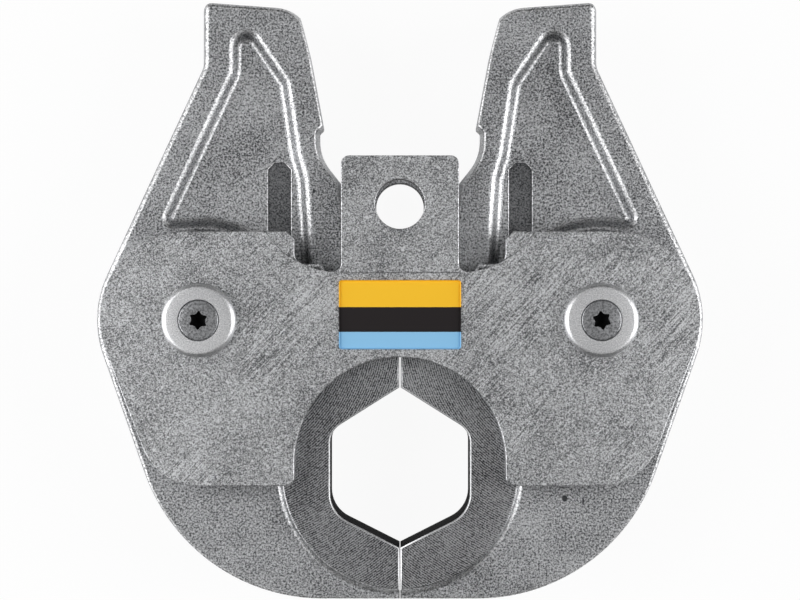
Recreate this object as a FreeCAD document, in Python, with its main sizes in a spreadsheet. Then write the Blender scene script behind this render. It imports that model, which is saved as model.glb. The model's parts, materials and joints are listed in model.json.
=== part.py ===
import FreeCAD, Part

import math
import os
import re

import Sketcher
from FreeCAD import Placement, Rotation, Vector

# A press jaw for pipe fittings: two forged jaw halves that turn on bolts between two side
# plates. The row frame has its origin in the middle of the bore that the press machine's
# retaining bolt goes through, +Y towards the arm tips and +Z out of the front plate.
# All sizes are in millimetres and degrees.

SIZES = [
    # Layout of the tool
    ("pivot_spacing", 114.0, "centre to centre of the two pivot bolts"),
    ("pivot_drop", 33.0, "pivot centres below the retaining bore"),
    ("contour_drop", 43.3, "centre of the press ring below the pivots"),
    ("overrun", 2.0, "how far a cutter runs past the metal"),
    # Heights from the parting plane, which is the middle of the tool
    ("web_face", 8.3, "forged face of a jaw"),
    ("boss_face", 10.25, "machined boss faces of a jaw"),
    ("side_clearance", 0.25, "jaw boss to side plate"),
    ("plate_thickness", 7.0, "side plate"),
    # Forged jaw, drawn about its own pivot
    ("draft", 7.0, "draft of the forged sides, degrees"),
    ("boss_draft", 30.0, "sloping wall of a boss, degrees"),
    ("lobe_radius", 31.0, "outside of the jaw round its pivot"),
    ("arm_splay", 25.0, "outer edge of the arm from upright, degrees"),
    ("arm_top_fall", 4.2, "slope of the arm's top edge, degrees"),
    ("arm_top_corner", 2.5, "radius of the outer top corner"),
    ("arm_kink_radius", 6.0, "radius where the outer edge turns upright"),
    ("shoulder_x", 29.0, "top inner corner of the arm, before its rounding"),
    ("shoulder_radius", 11.0, "rounding of the top inner corner"),
    ("tail_slope", 19.4, "outer edge below the lobe from upright, degrees"),
    ("tail_drop", 81.0, "bottom edge below the pivot"),
    ("tail_radius", 55.0, "rounding from the outer edge to the bottom"),
    ("closing_stock", 2.0, "forging past the closing plane, milled away"),
    # Inner edge of the arm
    ("track_end_x", 34.95, "lower end of the roller track"),
    ("track_end_y", 54.9, "lower end of the roller track"),
    ("track_lean", 10.4, "main run of the roller track from upright, degrees"),
    ("track_length", 21.4, "height of the main run"),
    ("track_entry_lean", 14.5, "entry of the roller track from upright, degrees"),
    ("entry_height", 15.9, "height of the entry, up to the outer top corner of the arm"),
    ("track_blend", 60.0, "radius between entry and main run"),
    ("track_stock", 1.6, "forging past the roller track, milled away"),
    ("scallop_x", 33.85, "forged hollow below the roller track"),
    ("scallop_step", 1.3, "hollow's upper end below the track end"),
    ("scallop_y", 47.1, "where the hollow turns to the slanting edge"),
    ("scallop_radius", 13.0, "radius of the hollow"),
    ("scallop_corner", 0.7, "radius of the hollow's upper corner"),
    ("slant_x", 40.0, "lower end of the slanting edge"),
    ("slant_y", 39.3, "lower end of the slanting edge"),
    ("slant_corner", 2.6, "its corner radius"),
    # Room for the spring between the jaws
    ("flank_top_x", 41.5, "upper end of the flank the spring pushes"),
    ("flank_top_y", 29.65, "upper end of the flank the spring pushes"),
    ("flank_corner", 6.0, "its corner radius"),
    ("flank_foot_gap", 6.2, "lower end of the flank from the closing plane"),
    ("nose_height", 3.6, "top of the closing nose above the pivot"),
    ("nose_corner", 1.5, "radius at the foot of the flank"),
    ("nose_relief", 0.5, "how far the nose top falls back to turn freely"),
    # Machined bosses, faces and bore
    ("hub_radius", 25.0, "boss face round the pivot"),
    ("ring_radius", 33.8, "boss face round the press contour"),
    ("closing_gap", 0.1, "closing face from the middle plane"),
    ("entry_gap", 0.22, "the same above the contour, where flash is let out"),
    ("bolt_radius", 8.0, "pivot bolt"),
    ("pin_clearance", 0.05, "radial clearance on the pivot bolt"),
    ("milled_chamfer", 0.45, "chamfer of the contour and the closing face"),
    # Press contour, measured from the centre of the ring
    ("contour_half", 20.0, "half the distance across the two upright sides"),
    ("contour_top", 24.1, "upper corner above the ring centre"),
    ("contour_upper", 11.5, "upper side corners above the ring centre"),
    ("contour_lower", 11.9, "lower side corners below the ring centre"),
    ("contour_bottom", 22.0, "lower corner below the ring centre"),
    ("contour_upper_radius", 6.0, "rounding of the upper side corners"),
    ("contour_lower_radius", 9.0, "rounding of the lower side corners"),
    # Weight-saving pocket in the arm
    ("pocket_depth", 4.0, "depth of the pocket in the arm"),
    ("pocket_draft", 28.0, "slope of the pocket's sides, degrees"),
    ("rim_width", 8.5, "metal left along the arm's outer edge"),
    ("pocket_left", 8.5, "upright side of the pocket, above the pivot"),
    ("pocket_apex", 92.6, "where the two upper sides would meet"),
    ("pocket_apex_radius", 4.3, "rounded top of the pocket"),
    ("pocket_bend_radius", 6.0, "bend in the outer side"),
    ("pocket_shoulder_x", 24.9, "inner top corner of the pocket"),
    ("pocket_shoulder_y", 68.4, "inner top corner of the pocket"),
    ("pocket_shoulder_radius", 3.3, "its radius"),
    ("pocket_waist_x", 28.0, "first bend of the inner side"),
    ("pocket_waist_y", 47.5, "first bend of the inner side"),
    ("pocket_hip_x", 30.0, "second bend of the inner side"),
    ("pocket_hip_y", 41.0, "second bend of the inner side"),
    ("pocket_side_radius", 12.0, "radius of the two bends"),
    ("pocket_foot_x", 32.9, "inner bottom corner of the pocket"),
    ("pocket_foot_radius", 3.4, "its radius"),
    ("pocket_hub_radius", 26.9, "round lower side of the pocket about the pivot"),
    ("pocket_hub_start", 26.0, "where that round starts, degrees"),
    ("pocket_hub_end", 95.0, "where that round ends, degrees"),
    ("pocket_corner_radius", 3.2, "outer bottom corner of the pocket"),
    # Sunk field in the pocket floor
    ("field_x", 22.2, "middle of the sunk field"),
    ("field_top", 45.3, "top of the field"),
    ("field_length", 23.0, "length of the field"),
    ("field_width", 6.6, "width of the field"),
    ("field_depth", 0.7, "depth of the field"),
    ("field_corner", 1.9, "corners cut off the field"),
    # Side plate, drawn about the retaining bore
    ("tongue_width", 33.5, "tongue that goes into the machine"),
    ("tongue_top", 13.85, "tongue above the bore"),
    ("tongue_corner", 2.3, "corner radius of the tongue"),
    ("retaining_radius", 7.05, "bore for the machine's retaining bolt"),
    ("tongue_recess", 1.0, "tongue faces below the plate's outer face"),
    ("recess_step", 0.4, "lower edge of the recess below the notch"),
    ("recess_half_width", 42.0, "half width of the recess"),
    ("recess_radius", 25.0, "round ends of the recess"),
    ("notch_drop", 19.05, "bottom of the notch beside the tongue"),
    ("notch_width", 5.6, "width of that notch"),
    ("notch_radius", 2.3, "its radius"),
    ("step_drop", 17.0, "low step beside the notch"),
    ("step_half_width", 30.0, "upright side of the shoulder"),
    ("step_radius", 3.0, "radius in the corner of the shoulder"),
    ("shoulder_drop", 7.7, "top edge of the plate below the bore"),
    ("shoulder_bevel", 2.4, "bevel at the top of the shoulder"),
    ("plate_side_slope", 20.9, "outer side of the plate from upright, degrees"),
    ("plate_half_width", 81.6, "outer side at the height of its reference"),
    ("plate_side_drop", 46.8, "height of that reference below the bore"),
    ("plate_top_radius", 24.7, "large outer corner of the plate"),
    ("plate_foot_radius", 17.3, "lower outer corner of the plate"),
    ("plate_foot_drop", 80.0, "lower edge of the plate below the bore"),
    ("arch_radius", 30.0, "arch over the press ring"),
    ("arch_drop", 73.5, "centre of the arch below the bore"),
    ("arch_corner", 2.4, "lower corners of the arch"),
    # Pivot hardware
    ("washer_radius", 10.5, "retaining washer"),
    ("washer_thickness", 3.5, "retaining washer"),
    ("washer_sides", 36, "flats that stand for its round edge"),
    ("hole_sides", 18, "flats that stand for its hole and for the screw"),
    ("thread_radius", 3.0, "retaining screw"),
    ("thread_clearance", 0.1, "screw in its hole, radial"),
    ("screw_length", 16.0, "retaining screw over all"),
    ("screw_head_radius", 5.65, "countersunk head"),
    ("head_land", 0.1, "upright rim of the head above its cone"),
    ("screw_sink", 0.1, "head below the washer's face"),
    ("socket_core", 2.0, "inner corners of the star socket"),
    ("socket_tip", 2.8, "outer corners of the star socket"),
    ("socket_depth", 2.6, "depth of the socket"),
    # Spring that keeps the jaws closed
    ("spring_drop", 22.0, "centre of the coil below the bore"),
    ("spring_pin_radius", 3.7, "pin inside the coil"),
    ("spring_pin_seat", 3.0, "depth of the pin's seat in each plate"),
    ("spring_pin_play", 0.25, "pin to the bottom of its seat"),
    ("coil_radius", 5.0, "middle of the wire round the pin"),
    ("wire_radius", 0.9, "spring wire"),
    ("coil_pitch", 1.9, "rise of one turn"),
    ("coil_turns", 5, "whole turns"),
    ("coil_steps", 10, "straight lengths in one turn"),
    ("wire_sides", 5, "sides of the wire"),
    ("leg_play", 0.12, "leg end to the jaw's flank"),
    ("leg_reach", 1.9, "leg end below the top of the flank"),
    # Field on the front plate
    ("label_width", 34.6, "foil label"),
    ("label_height", 19.6, "foil label"),
    ("label_top_drop", 21.6, "top of the label below the bore"),
    ("label_thickness", 0.25, "foil label"),
]

doc = FreeCAD.newDocument("press_jaw")
sheet = doc.addObject("Spreadsheet::Sheet", "Sizes")
for row, (alias, amount, meaning) in enumerate(SIZES, start=1):
    sheet.set(f"A{row}", meaning)
    sheet.set(f"B{row}", str(amount))
    sheet.setAlias(f"B{row}", alias)
doc.recompute()

NAMES = {alias for alias, amount, meaning in SIZES}


def cells(expression):
    """The expression with the name of each size pointing at its cell."""
    return re.sub(
        r"[a-z][a-z_]*",
        lambda word: f"Sizes.{word[0]}" if word[0] in NAMES else word[0],
        expression,
    )


def size(expression):
    """The number an expression comes to."""
    return float(sheet.evalExpression(cells(expression)))


def meet(first_distance, first_angle, second_distance, second_angle):
    """Where two lines cross, each given by its distance from the origin and its normal's angle."""
    spread = f"sin(({second_angle}) - ({first_angle}))"
    x = f"(({first_distance}) * sin({second_angle}) - ({second_distance}) * sin({first_angle})) / {spread}"
    y = f"(({second_distance}) * cos({first_angle}) - ({first_distance}) * cos({second_angle})) / {spread}"
    return x, y


# Sketches

def new_body(label):
    body = doc.addObject("PartDesign::Body", label)
    body.Label = label
    return body


def new_sketch(body, name, lift="0"):
    """An empty sketch on the body's own level plane, lifted off it."""
    support = next(face for face in body.Origin.OriginFeatures if face.Role == "XY_Plane")
    sketch = body.newObject("Sketcher::SketchObject", name)
    sketch.AttachmentSupport = [(support, "")]
    sketch.MapMode = "FlatFace"
    sketch.setExpression(".AttachmentOffset.Base.z", cells(lift))
    return sketch


def bind(sketch, constraint, expression):
    """Adds a constraint whose size follows an expression."""
    index = sketch.addConstraint(constraint)
    name = f"size_{index}"
    sketch.renameConstraint(index, name)
    sketch.setExpression(f".Constraints.{name}", cells(expression))


def pin_point(sketch, geometry, end, x, y):
    """Holds one point of a sketch at x, y."""
    bind(sketch, Sketcher.Constraint("DistanceX", -1, 1, geometry, end, size(x)), x)
    bind(sketch, Sketcher.Constraint("DistanceY", -1, 1, geometry, end, size(y)), y)


def outline(body, name, corners, lift="0"):
    """A closed outline of straight runs, anticlockwise through the given corners.

    A corner is (x, y) or (x, y, radius). A rounded one keeps a point where its two runs
    would meet, and its arc is tangent to both.
    """
    sketch = new_sketch(body, name, lift)
    places = [Vector(size(corner[0]), size(corner[1]), 0) for corner in corners]
    count = len(corners)
    arcs = {}
    begins = list(places)
    ends = list(places)
    for index, corner in enumerate(corners):
        if len(corner) < 3:
            continue
        radius = size(corner[2])
        back = (places[index - 1] - places[index]).normalize()
        ahead = (places[(index + 1) % count] - places[index]).normalize()
        half = back.getAngle(ahead) / 2
        begins[index] = places[index] + back * (radius / math.tan(half))
        ends[index] = places[index] + ahead * (radius / math.tan(half))
        centre = places[index] + (back + ahead).normalize() * (radius / math.sin(half))
        hollow = back.cross(ahead).z > 0
        first, last = (ends, begins) if hollow else (begins, ends)
        angles = [math.atan2(*reversed((point[index] - centre)[:2])) for point in (first, last)]
        circle = Part.Circle(centre, Vector(0, 0, 1), radius)
        arcs[index] = (Part.ArcOfCircle(circle, angles[0], angles[1]), hollow)
    runs = [
        sketch.addGeometry(Part.LineSegment(ends[index], begins[(index + 1) % count]))
        for index in range(count)
    ]
    for index, corner in enumerate(corners):
        before = runs[index - 1]
        after = runs[index]
        if index not in arcs:
            sketch.addConstraint(Sketcher.Constraint("Coincident", before, 2, after, 1))
            pin_point(sketch, after, 1, corner[0], corner[1])
            continue
        shape, hollow = arcs[index]
        arc = sketch.addGeometry(shape)
        point = sketch.addGeometry(Part.Point(places[index]), True)
        entry, leave = (2, 1) if hollow else (1, 2)
        sketch.addConstraint([
            Sketcher.Constraint("Tangent", before, 2, arc, entry),
            Sketcher.Constraint("Tangent", arc, leave, after, 1),
            Sketcher.Constraint("PointOnObject", point, 1, before),
            Sketcher.Constraint("PointOnObject", point, 1, after),
        ])
        pin_point(sketch, point, 1, corner[0], corner[1])
        bind(sketch, Sketcher.Constraint("Radius", arc, size(corner[2])), corner[2])
    return sketch


def circles(body, name, rounds, lift="0"):
    """A sketch of full circles, each (x, y, radius)."""
    sketch = new_sketch(body, name, lift)
    for x, y, radius in rounds:
        centre = Vector(size(x), size(y), 0)
        circle = sketch.addGeometry(Part.Circle(centre, Vector(0, 0, 1), size(radius)))
        pin_point(sketch, circle, 3, x, y)
        bind(sketch, Sketcher.Constraint("Radius", circle, size(radius)), radius)
    return sketch


def many_sided(body, name, radius, count, lift="0"):
    """A round outline drawn as flats, its corners at a radius from the body's axis."""
    sides = int(size(count))
    return outline(body, name, [
        (f"{radius} * cos({360 * side / sides})", f"{radius} * sin({360 * side / sides})")
        for side in range(sides)
    ], lift)


# Features

def extrude(body, kind, name, sketch, length, taper="0"):
    """A Pad up from its sketch, or a Pocket down from it."""
    feature = body.newObject(f"PartDesign::{kind}", name)
    feature.Profile = sketch
    feature.setExpression("Length", cells(length))
    feature.setExpression("TaperAngle", cells(taper))
    doc.recompute()
    return feature


def dress(body, kind, name, amount, wanted):
    """A Fillet or Chamfer on the edges of the body so far that the test picks."""
    base = body.Tip
    picked = [
        f"Edge{index}"
        for index, edge in enumerate(base.Shape.Edges, start=1)
        if wanted(edge)
    ]
    if not picked:
        raise ValueError(f"{body.Label}: no edge found for {name}")
    feature = body.newObject(f"PartDesign::{kind}", name)
    feature.Base = (base, picked)
    feature.setExpression("Radius" if kind == "Fillet" else "Size", cells(amount))
    doc.recompute()
    return feature


def points_on(edge):
    """Both ends and the middle of an edge."""
    first, last = edge.FirstParameter, edge.LastParameter
    return [edge.valueAt(first), edge.valueAt((first + last) / 2), edge.valueAt(last)]


NEAR = 0.02


def level(edge, height):
    """Whether the edge lies flat at a height."""
    return all(abs(point.z - height) < NEAR for point in points_on(edge))


def upright(edge):
    """Whether the edge is straight along Z."""
    ends = points_on(edge)
    return abs(ends[0].z - ends[2].z) > NEAR and (ends[0] - ends[2]).cross(Vector(0, 0, 1)).Length < NEAR


def round_about(edge, x, y, radius):
    """Whether each point of the edge is at a radius from the upright line at x, y."""
    return all(abs(math.hypot(point.x - x, point.y - y) - radius) < NEAR for point in points_on(edge))


def near_axis(edge, radius):
    """Whether the edge lies within a radius of the body's axis."""
    return all(math.hypot(point.x, point.y) < radius + NEAR for point in points_on(edge))


# The forged jaw

def jaw(label):
    """One jaw half, drawn about its own pivot with +X towards the other one.

    Both halves are the same forging; the right one is turned over. It is built above the
    parting plane and mirrored below it.
    """
    body = new_body(label)
    centre = "pivot_spacing / 2"
    top = "boss_face + overrun"
    through = "boss_face + 2 * overrun"
    track_top = "track_end_y + track_length"
    arm_top = f"({track_top} + entry_height)"
    track_kink_x = "track_end_x - track_length * tan(track_lean)"

    # Forging: outer edge, bottom, closing side, spring room, slanting edge and arm
    lobe = meet("lobe_radius", "180 - arm_splay", "lobe_radius", "180 + tail_slope")
    tail = meet("lobe_radius", "180 + tail_slope", "tail_drop", "270")
    stock_foot_x = "track_end_x + track_stock"
    blank = outline(body, f"{label}_blank", [
        ("0", arm_top, "arm_top_corner"),
        ("0", "lobe_radius / sin(arm_splay)", "arm_kink_radius"),
        (*lobe, "lobe_radius"),
        (*tail, "tail_radius"),
        (f"{centre} + closing_stock", "-tail_drop"),
        (f"{centre} + closing_stock", "nose_height"),
        (f"{centre} - flank_foot_gap", "nose_height", "nose_corner"),
        ("flank_top_x", "flank_top_y", "flank_corner"),
        ("slant_x", "slant_y", "slant_corner"),
        ("scallop_x", "scallop_y", "scallop_radius"),
        ("scallop_x", "track_end_y - scallop_step", "scallop_corner"),
        (stock_foot_x, f"track_end_y - scallop_step + ({stock_foot_x} - scallop_x)"),
        (f"{track_kink_x} + track_stock", track_top, "track_blend"),
        ("shoulder_x", f"{arm_top} - shoulder_x * tan(arm_top_fall)", "shoulder_radius"),
    ])
    extrude(body, "Pad", f"{label}_forging", blank, "web_face", "-draft")

    # Pocket in the arm, its lower side round the hub
    hub_line_end = ("pocket_hub_radius", "pocket_hub_end")
    outer_line = ("lobe_radius - rim_width", "180 - arm_splay")
    hub_line_start = ("pocket_hub_radius", "pocket_hub_start")
    foot_y = (
        "(pocket_hub_radius - pocket_foot_x * cos(pocket_hub_start)) / sin(pocket_hub_start)"
    )
    pocket = outline(body, f"{label}_pocket_outline", [
        ("pocket_left", "pocket_apex", "pocket_apex_radius"),
        (*meet("-pocket_left", "180", *outer_line), "pocket_bend_radius"),
        (*meet(*outer_line, *hub_line_end), "pocket_corner_radius"),
        (*meet(*hub_line_start, *hub_line_end), "pocket_hub_radius"),
        ("pocket_foot_x", foot_y, "pocket_foot_radius"),
        ("pocket_hip_x", "pocket_hip_y", "pocket_side_radius"),
        ("pocket_waist_x", "pocket_waist_y", "pocket_side_radius"),
        ("pocket_shoulder_x", "pocket_shoulder_y", "pocket_shoulder_radius"),
    ], "web_face")
    extrude(body, "Pocket", f"{label}_arm_pocket", pocket, "pocket_depth", "-pocket_draft")

    # Bosses with sloping walls, rooted a little below the forged face
    rise = "(boss_face - web_face + overrun)"
    spread = f"{rise} * tan(boss_draft)"
    bosses = (
        ("hub", "0", "0", "hub_radius"),
        ("ring", centre, "-contour_drop", "ring_radius"),
    )
    for name, x, y, radius in bosses:
        circle = circles(body, f"{label}_{name}_circle", [(x, y, f"{radius} + {spread}")],
                         "web_face - overrun")
        extrude(body, "Pad", f"{label}_{name}", circle, rise, "-boss_draft")

    # Closing face, opened a little above the contour and relieved above the pivots
    far = f"{centre} + ring_radius + {spread} + overrun"
    closing = outline(body, f"{label}_closing_outline", [
        (f"{centre} - closing_gap", "-tail_drop - overrun"),
        (far, "-tail_drop - overrun"),
        (far, "nose_height + overrun"),
        (f"{centre} - entry_gap - nose_relief", "nose_height + overrun"),
        (f"{centre} - entry_gap", "0"),
        (f"{centre} - entry_gap", "-contour_drop + contour_upper"),
        (f"{centre} - closing_gap", "-contour_drop"),
    ], top)
    extrude(body, "Pocket", f"{label}_closing_face", closing, through)

    # Roller track, milled square to the faces
    beyond = f"{centre} + overrun"
    track = outline(body, f"{label}_track_outline", [
        ("track_end_x + overrun * tan(track_lean)", "track_end_y - overrun"),
        (beyond, "track_end_y - overrun"),
        (beyond, f"{arm_top} + overrun"),
        (f"{track_kink_x} - (entry_height + overrun) * tan(track_entry_lean)", f"{arm_top} + overrun"),
        (track_kink_x, track_top, "track_blend"),
    ], top)
    extrude(body, "Pocket", f"{label}_track", track, through)

    # Press contour
    contour = outline(body, f"{label}_contour_outline", [
        (f"{centre} - contour_half", "-contour_drop + contour_upper", "contour_upper_radius"),
        (f"{centre} - contour_half", "-contour_drop - contour_lower", "contour_lower_radius"),
        (centre, "-contour_drop - contour_bottom"),
        (f"{centre} + contour_half", "-contour_drop - contour_lower"),
        (f"{centre} + contour_half", "-contour_drop + contour_upper"),
        (centre, "-contour_drop + contour_top"),
    ], top)
    extrude(body, "Pocket", f"{label}_contour", contour, through)

    # Milled edges of the contour and the closing face
    boss = size("boss_face")
    rims = [(size(x), size(y), size(radius)) for name, x, y, radius in bosses]
    dress(body, "Chamfer", f"{label}_milled_edges", "milled_chamfer",
          lambda edge: level(edge, boss) and not any(round_about(edge, *rim) for rim in rims))

    # Pivot bore
    bore = circles(body, f"{label}_bore_circle", [("0", "0", "bolt_radius + pin_clearance")], top)
    extrude(body, "Pocket", f"{label}_bore", bore, through)

    # Sunk field in the pocket floor
    near, far = "field_x - field_width / 2", "field_x + field_width / 2"
    high, low = "field_top", "field_top - field_length"
    field = outline(body, f"{label}_field_outline", [
        (f"{near} + field_corner", high),
        (near, f"{high} - field_corner"),
        (near, f"{low} + field_corner"),
        (f"{near} + field_corner", low),
        (f"{far} - field_corner", low),
        (far, f"{low} + field_corner"),
        (far, f"{high} - field_corner"),
        (f"{far} - field_corner", high),
    ], "web_face - pocket_depth")
    extrude(body, "Pocket", f"{label}_field", field, "field_depth")

    # The other side of the parting plane
    plane = next(face for face in body.Origin.OriginFeatures if face.Role == "XY_Plane")
    mirror = body.newObject("PartDesign::Mirrored", f"{label}_both_sides")
    mirror.TransformMode = "Whole shape"
    mirror.MirrorPlane = (plane, [""])
    body.Tip = mirror
    doc.recompute()
    return body


# The side plate

def side_plate(label):
    """One side plate with its tongue, drawn about the retaining bore."""
    body = new_body(label)
    inner = "boss_face + side_clearance"
    outer = "boss_face + side_clearance + plate_thickness"
    top = f"{outer} + overrun"
    through = "plate_thickness + 2 * overrun"
    reach = "plate_half_width * cos(plate_side_slope) + plate_side_drop * sin(plate_side_slope)"
    upper = meet("-shoulder_drop", "90", reach, "-plate_side_slope")
    lower = meet(reach, "-plate_side_slope", "plate_foot_drop", "-90")
    right = [
        ("step_half_width", "-plate_foot_drop"),
        (*lower, "plate_foot_radius"),
        (*upper, "plate_top_radius"),
        ("step_half_width + shoulder_bevel", "-shoulder_drop"),
        ("step_half_width", "-shoulder_drop - shoulder_bevel"),
        ("step_half_width", "-step_drop", "step_radius"),
        ("tongue_width / 2 + notch_width", "-step_drop"),
        ("tongue_width / 2 + notch_width - notch_radius / 2", "-notch_drop"),
        ("tongue_width / 2", "-notch_drop", "notch_radius"),
        ("tongue_width / 2", "tongue_top", "tongue_corner"),
    ]
    left = [(f"-({x})", *rest) for x, *rest in reversed(right[1:])]
    plate = outline(body, f"{label}_outline", [*right, *left, ("-step_half_width", "-plate_foot_drop")],
                    inner)
    extrude(body, "Pad", f"{label}_plate", plate, "plate_thickness")

    arch = new_sketch(body, f"{label}_arch_outline", top)
    radius = size("arch_radius")
    spring_line = size("-arch_drop")
    foot = size("-plate_foot_drop - overrun")
    corners = [
        Vector(-radius, spring_line, 0),
        Vector(-radius, foot, 0),
        Vector(radius, foot, 0),
        Vector(radius, spring_line, 0),
    ]
    for start, end in zip(corners, corners[1:]):
        arch.addGeometry(Part.LineSegment(start, end))
    crown = Part.Circle(Vector(0, spring_line, 0), Vector(0, 0, 1), radius)
    arch.addGeometry(Part.ArcOfCircle(crown, 0, math.pi))
    arch.addConstraint([
        Sketcher.Constraint("Coincident", 0, 2, 1, 1),
        Sketcher.Constraint("Coincident", 1, 2, 2, 1),
        Sketcher.Constraint("Tangent", 2, 2, 3, 1),
        Sketcher.Constraint("Tangent", 3, 2, 0, 1),
        Sketcher.Constraint("Horizontal", 1),
        Sketcher.Constraint("Vertical", 0),
    ])
    pin_point(arch, 3, 3, "0", "-arch_drop")
    bind(arch, Sketcher.Constraint("Radius", 3, radius), "arch_radius")
    bind(arch, Sketcher.Constraint("DistanceY", -1, 1, 1, 1, foot), "-plate_foot_drop - overrun")
    extrude(body, "Pocket", f"{label}_arch", arch, through)
    arch_foot = size("arch_radius")
    dress(body, "Fillet", f"{label}_arch_corners", "arch_corner",
          lambda edge: upright(edge)
          and abs(abs(edge.CenterOfMass.x) - arch_foot) < NEAR
          and abs(edge.CenterOfMass.y + size("plate_foot_drop")) < NEAR)

    holes = circles(body, f"{label}_hole_circles", [
        ("0", "0", "retaining_radius"),
        ("-pivot_spacing / 2", "-pivot_drop", "bolt_radius + pin_clearance"),
        ("pivot_spacing / 2", "-pivot_drop", "bolt_radius + pin_clearance"),
    ], top)
    extrude(body, "Pocket", f"{label}_holes", holes, through)

    # The tongue and the plate round it are milled down for the machine's fork
    recess = outline(body, f"{label}_recess_outline", [
        ("-recess_half_width", "tongue_top + overrun"),
        ("-recess_half_width", "-notch_drop - recess_step", "recess_radius"),
        ("recess_half_width", "-notch_drop - recess_step", "recess_radius"),
        ("recess_half_width", "tongue_top + overrun"),
    ], outer)
    extrude(body, "Pocket", f"{label}_recess", recess, "tongue_recess")

    # Blind seat of the spring pin in the inner face
    seat = circles(body, f"{label}_pin_circle", [("0", "-spring_drop", "spring_pin_radius + pin_clearance")],
                   f"{inner} + spring_pin_seat")
    extrude(body, "Pocket", f"{label}_pin_seat", seat, "spring_pin_seat + overrun")
    return body


# Pivot hardware

def pivot_bolt(label):
    """A plain pivot bolt through jaw and plates, drilled through for its two screws."""
    body = new_body(label)
    half = "(boss_face + side_clearance + plate_thickness)"
    round_bar = circles(body, f"{label}_circle", [("0", "0", "bolt_radius")], f"-{half}")
    extrude(body, "Pad", f"{label}_bar", round_bar, f"2 * {half}")
    hole = many_sided(body, f"{label}_hole_outline", "(thread_radius + thread_clearance)", "hole_sides",
                      f"{half} + overrun")
    extrude(body, "Pocket", f"{label}_hole", hole, f"2 * ({half} + overrun)")
    return body


def washer(label):
    """A countersunk retaining washer, its seat at the body's origin."""
    body = new_body(label)
    hole = "(thread_radius + thread_clearance)"
    mouth = "(screw_head_radius + head_land + screw_sink + thread_clearance)"
    disc = many_sided(body, f"{label}_disc_outline", "washer_radius", "washer_sides")
    extrude(body, "Pad", f"{label}_disc", disc, "washer_thickness")
    round_hole = many_sided(body, f"{label}_hole_outline", hole, "hole_sides",
                            "washer_thickness + overrun")
    extrude(body, "Pocket", f"{label}_hole", round_hole, "washer_thickness + 2 * overrun")
    top = size("washer_thickness")
    dress(body, "Chamfer", f"{label}_countersink", f"({mouth} - {hole}) * cos(180 / hole_sides)",
          lambda edge: level(edge, top) and near_axis(edge, size(hole)))
    return body


def screw(label):
    """A countersunk retaining screw, its head's face at the body's origin."""
    body = new_body(label)
    rim = many_sided(body, f"{label}_head_outline", "screw_head_radius", "hole_sides")
    cone = "screw_head_radius - thread_radius"
    head = extrude(body, "Pad", f"{label}_head", rim, f"head_land + {cone}")
    head.Reversed = True
    doc.recompute()
    foot = -size(f"head_land + {cone}")
    dress(body, "Chamfer", f"{label}_head_cone", cone, lambda edge: level(edge, foot))
    shank = many_sided(body, f"{label}_shank_outline", "thread_radius", "hole_sides", "-screw_length")
    extrude(body, "Pad", f"{label}_shank", shank, "screw_length - socket_depth / 2")
    star = outline(body, f"{label}_star", [
        (f"{radius} * cos({angle})", f"{radius} * sin({angle})")
        for turn in range(0, 360, 60)
        for radius, angle in (("socket_tip", turn), ("socket_core", turn + 30))
    ])
    extrude(body, "Pocket", f"{label}_socket", star, "socket_depth")
    return body


def spring_pin(label):
    """The pin that carries the spring, seated in both side plates."""
    body = new_body(label)
    half = "(boss_face + side_clearance + spring_pin_seat - spring_pin_play)"
    bar = circles(body, f"{label}_circle", [("0", "0", "spring_pin_radius")], f"-{half}")
    extrude(body, "Pad", f"{label}_bar", bar, f"2 * {half}")
    return body


def label_plate(label):
    """The foil label on the front plate."""
    body = new_body(label)
    half = "label_width / 2"
    sheet_outline = outline(body, f"{label}_outline", [
        (f"-{half}", "0"),
        (f"-{half}", "-label_height"),
        (half, "-label_height"),
        (half, "0"),
    ])
    extrude(body, "Pad", f"{label}_foil", sheet_outline, "label_thickness")
    return body


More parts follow.
